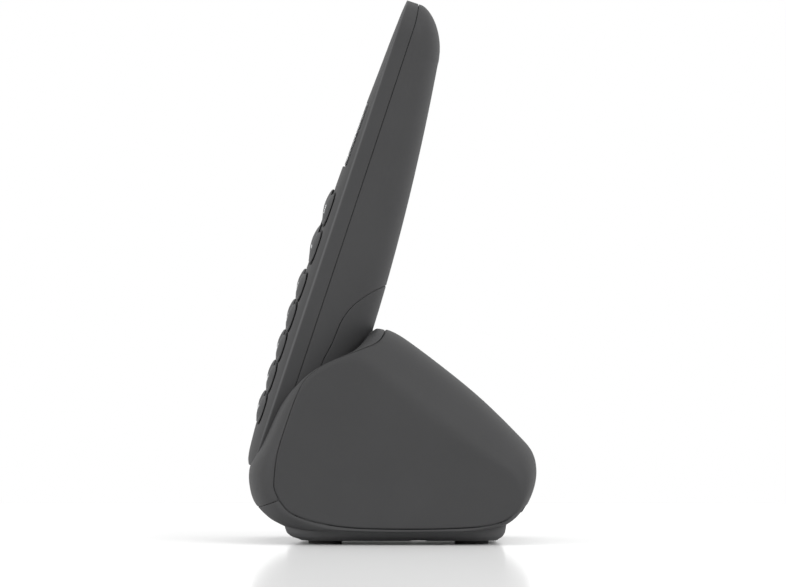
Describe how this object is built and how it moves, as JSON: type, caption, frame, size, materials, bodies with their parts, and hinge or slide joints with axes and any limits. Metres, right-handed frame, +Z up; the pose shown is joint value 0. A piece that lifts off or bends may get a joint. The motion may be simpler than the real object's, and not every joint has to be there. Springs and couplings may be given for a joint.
{
  "type": "cordless phone with base",
  "caption": "Cordless telephone handset leaning back in a rounded wedge-shaped charging base, with domed keys, a display window and a battery door.",
  "frame": {"origin": "middle of the footprint, on the surface that the feet stand on", "axes": "+Z up, +X across the width, the face of the handset looks towards -Y"},
  "size_m": [0.076, 0.0892, 0.1672],
  "materials": {
    "housing_plastic": "fine moulded grain, matte charcoal",
    "handset_plastic": "fine moulded grain, matte charcoal",
    "insert_plastic": "fine moulded grain, matte charcoal, a shade lighter",
    "tray_plastic": "matte dark charcoal",
    "key_plastic": "satin grey keys with white legends",
    "clear_lens": "clear polished window",
    "display": "reflective liquid crystal display",
    "silicone": "matte silicone rubber",
    "circuit_board": "green solder mask",
    "black_plastic": "matte black plastic",
    "contact_brass": "bright plated contact metal",
    "steel": "plain steel",
    "cell_sleeve": "printed shrink sleeve, left plain",
    "foot_rubber": "black rubber"
  },
  "bodies": {
    "base": {"base_housing": "housing_plastic", "cradle_insert": "insert_plastic", "bottom_tray": "tray_plastic", "foot_front_left": "foot_rubber", "foot_front_right": "foot_rubber", "foot_rear_left": "foot_rubber", "foot_rear_right": "foot_rubber", "base_board": "circuit_board", "page_switch": "black_plastic", "power_socket": "black_plastic", "line_socket": "black_plastic", "base_antenna": "contact_brass", "base_radio_shield": "steel", "charge_pin_holder_left": "black_plastic", "charge_pin_holder_right": "black_plastic", "base_screw_left": "steel", "base_screw_right": "steel"},
    "handset": {"handset_front_shell": "handset_plastic", "handset_back_shell": "handset_plastic", "battery_door": "handset_plastic", "display_lens": "clear_lens", "lcd_module": "display", "keypad_mat": "silicone", "handset_board": "circuit_board", "earpiece_receiver": "black_plastic", "microphone": "black_plastic", "ringer_speaker": "black_plastic", "handset_antenna": "contact_brass", "handset_radio_shield": "steel", "battery_contact_lower": "steel", "battery_contact_upper": "steel", "battery_cell_left": "cell_sleeve", "battery_cell_right": "cell_sleeve", "case_screw_left": "steel", "case_screw_right": "steel", "charge_pad_left": "contact_brass", "charge_pad_right": "contact_brass"},
    "page_button": {"page_button": "key_plastic"},
    "charge_pin_left": {"charge_pin_left": "contact_brass"},
    "charge_pin_right": {"charge_pin_right": "contact_brass"},
    "key_navigation": {"key_navigation": "key_plastic"},
    "key_1": {"key_1": "key_plastic"},
    "key_2": {"key_2": "key_plastic"},
    "key_3": {"key_3": "key_plastic"},
    "key_4": {"key_4": "key_plastic"},
    "key_5": {"key_5": "key_plastic"},
    "key_6": {"key_6": "key_plastic"},
    "key_7": {"key_7": "key_plastic"},
    "key_8": {"key_8": "key_plastic"},
    "key_9": {"key_9": "key_plastic"},
    "key_star": {"key_star": "key_plastic"},
    "key_0": {"key_0": "key_plastic"},
    "key_hash": {"key_hash": "key_plastic"},
    "key_recall": {"key_recall": "key_plastic"},
    "key_intercom": {"key_intercom": "key_plastic"},
    "key_mute": {"key_mute": "key_plastic"},
    "key_menu": {"key_menu": "key_plastic"},
    "key_directory": {"key_directory": "key_plastic"},
    "key_talk": {"key_talk": "key_plastic"},
    "key_end": {"key_end": "key_plastic"}
  },
  "joints": [
    {"name": "handset_lift", "type": "slide", "parent": "base", "child": "handset", "axis": [0, 0.314, 0.9494], "range_m": [0, 0.08]},
    {"name": "key_1_press", "type": "slide", "parent": "handset", "child": "key_1", "axis": [0, 0.9494, -0.314], "range_m": [0, 0.0008], "stiffness_N_per_m": 800},
    {"name": "key_2_press", "type": "slide", "parent": "handset", "child": "key_2", "axis": [0, 0.9494, -0.314], "range_m": [0, 0.0008], "stiffness_N_per_m": 800},
    {"name": "key_3_press", "type": "slide", "parent": "handset", "child": "key_3", "axis": [0, 0.9494, -0.314], "range_m": [0, 0.0008], "stiffness_N_per_m": 800},
    {"name": "key_4_press", "type": "slide", "parent": "handset", "child": "key_4", "axis": [0, 0.9494, -0.314], "range_m": [0, 0.0008], "stiffness_N_per_m": 800},
    {"name": "key_5_press", "type": "slide", "parent": "handset", "child": "key_5", "axis": [0, 0.9494, -0.314], "range_m": [0, 0.0008], "stiffness_N_per_m": 800},
    {"name": "key_6_press", "type": "slide", "parent": "handset", "child": "key_6", "axis": [0, 0.9494, -0.314], "range_m": [0, 0.0008], "stiffness_N_per_m": 800},
    {"name": "key_7_press", "type": "slide", "parent": "handset", "child": "key_7", "axis": [0, 0.9494, -0.314], "range_m": [0, 0.0008], "stiffness_N_per_m": 800},
    {"name": "key_8_press", "type": "slide", "parent": "handset", "child": "key_8", "axis": [0, 0.9494, -0.314], "range_m": [0, 0.0008], "stiffness_N_per_m": 800},
    {"name": "key_9_press", "type": "slide", "parent": "handset", "child": "key_9", "axis": [0, 0.9494, -0.314], "range_m": [0, 0.0008], "stiffness_N_per_m": 800},
    {"name": "key_star_press", "type": "slide", "parent": "handset", "child": "key_star", "axis": [0, 0.9494, -0.314], "range_m": [0, 0.0008], "stiffness_N_per_m": 800},
    {"name": "key_0_press", "type": "slide", "parent": "handset", "child": "key_0", "axis": [0, 0.9494, -0.314], "range_m": [0, 0.0008], "stiffness_N_per_m": 800},
    {"name": "key_hash_press", "type": "slide", "parent": "handset", "child": "key_hash", "axis": [0, 0.9494, -0.314], "range_m": [0, 0.0008], "stiffness_N_per_m": 800},
    {"name": "key_recall_press", "type": "slide", "parent": "handset", "child": "key_recall", "axis": [0, 0.9494, -0.314], "range_m": [0, 0.0008], "stiffness_N_per_m": 800},
    {"name": "key_intercom_press", "type": "slide", "parent": "handset", "child": "key_intercom", "axis": [0, 0.9494, -0.314], "range_m": [0, 0.0008], "stiffness_N_per_m": 800},
    {"name": "key_mute_press", "type": "slide", "parent": "handset", "child": "key_mute", "axis": [0, 0.9494, -0.314], "range_m": [0, 0.0008], "stiffness_N_per_m": 800},
    {"name": "key_menu_press", "type": "slide", "parent": "handset", "child": "key_menu", "axis": [0, 0.9494, -0.314], "range_m": [0, 0.0008], "stiffness_N_per_m": 800},
    {"name": "key_directory_press", "type": "slide", "parent": "handset", "child": "key_directory", "axis": [0, 0.9494, -0.314], "range_m": [0, 0.0008], "stiffness_N_per_m": 800},
    {"name": "key_talk_press", "type": "slide", "parent": "handset", "child": "key_talk", "axis": [0, 0.9494, -0.314], "range_m": [0, 0.0008], "stiffness_N_per_m": 800},
    {"name": "key_end_press", "type": "slide", "parent": "handset", "child": "key_end", "axis": [0, 0.9494, -0.314], "range_m": [0, 0.0008], "stiffness_N_per_m": 800},
    {"name": "key_navigation_rock", "type": "hinge", "parent": "handset", "child": "key_navigation", "pos_m": [0, -0.01719, 0.09711], "axis": [1, 0, 0], "range_deg": [-2.5, 2.5], "stiffness_Nm_per_rad": 0.05},
    {"name": "page_button_press", "type": "slide", "parent": "base", "child": "page_button", "axis": [0, 1, 0], "range_m": [0, 0.0008], "stiffness_N_per_m": 800},
    {"name": "charge_pin_left_press", "type": "slide", "parent": "base", "child": "charge_pin_left", "axis": [0, -0.314, -0.9494], "range_m": [0, 0.0008], "stiffness_N_per_m": 500},
    {"name": "charge_pin_right_press", "type": "slide", "parent": "base", "child": "charge_pin_right", "axis": [0, -0.314, -0.9494], "range_m": [0, 0.0008], "stiffness_N_per_m": 500}
  ]
}
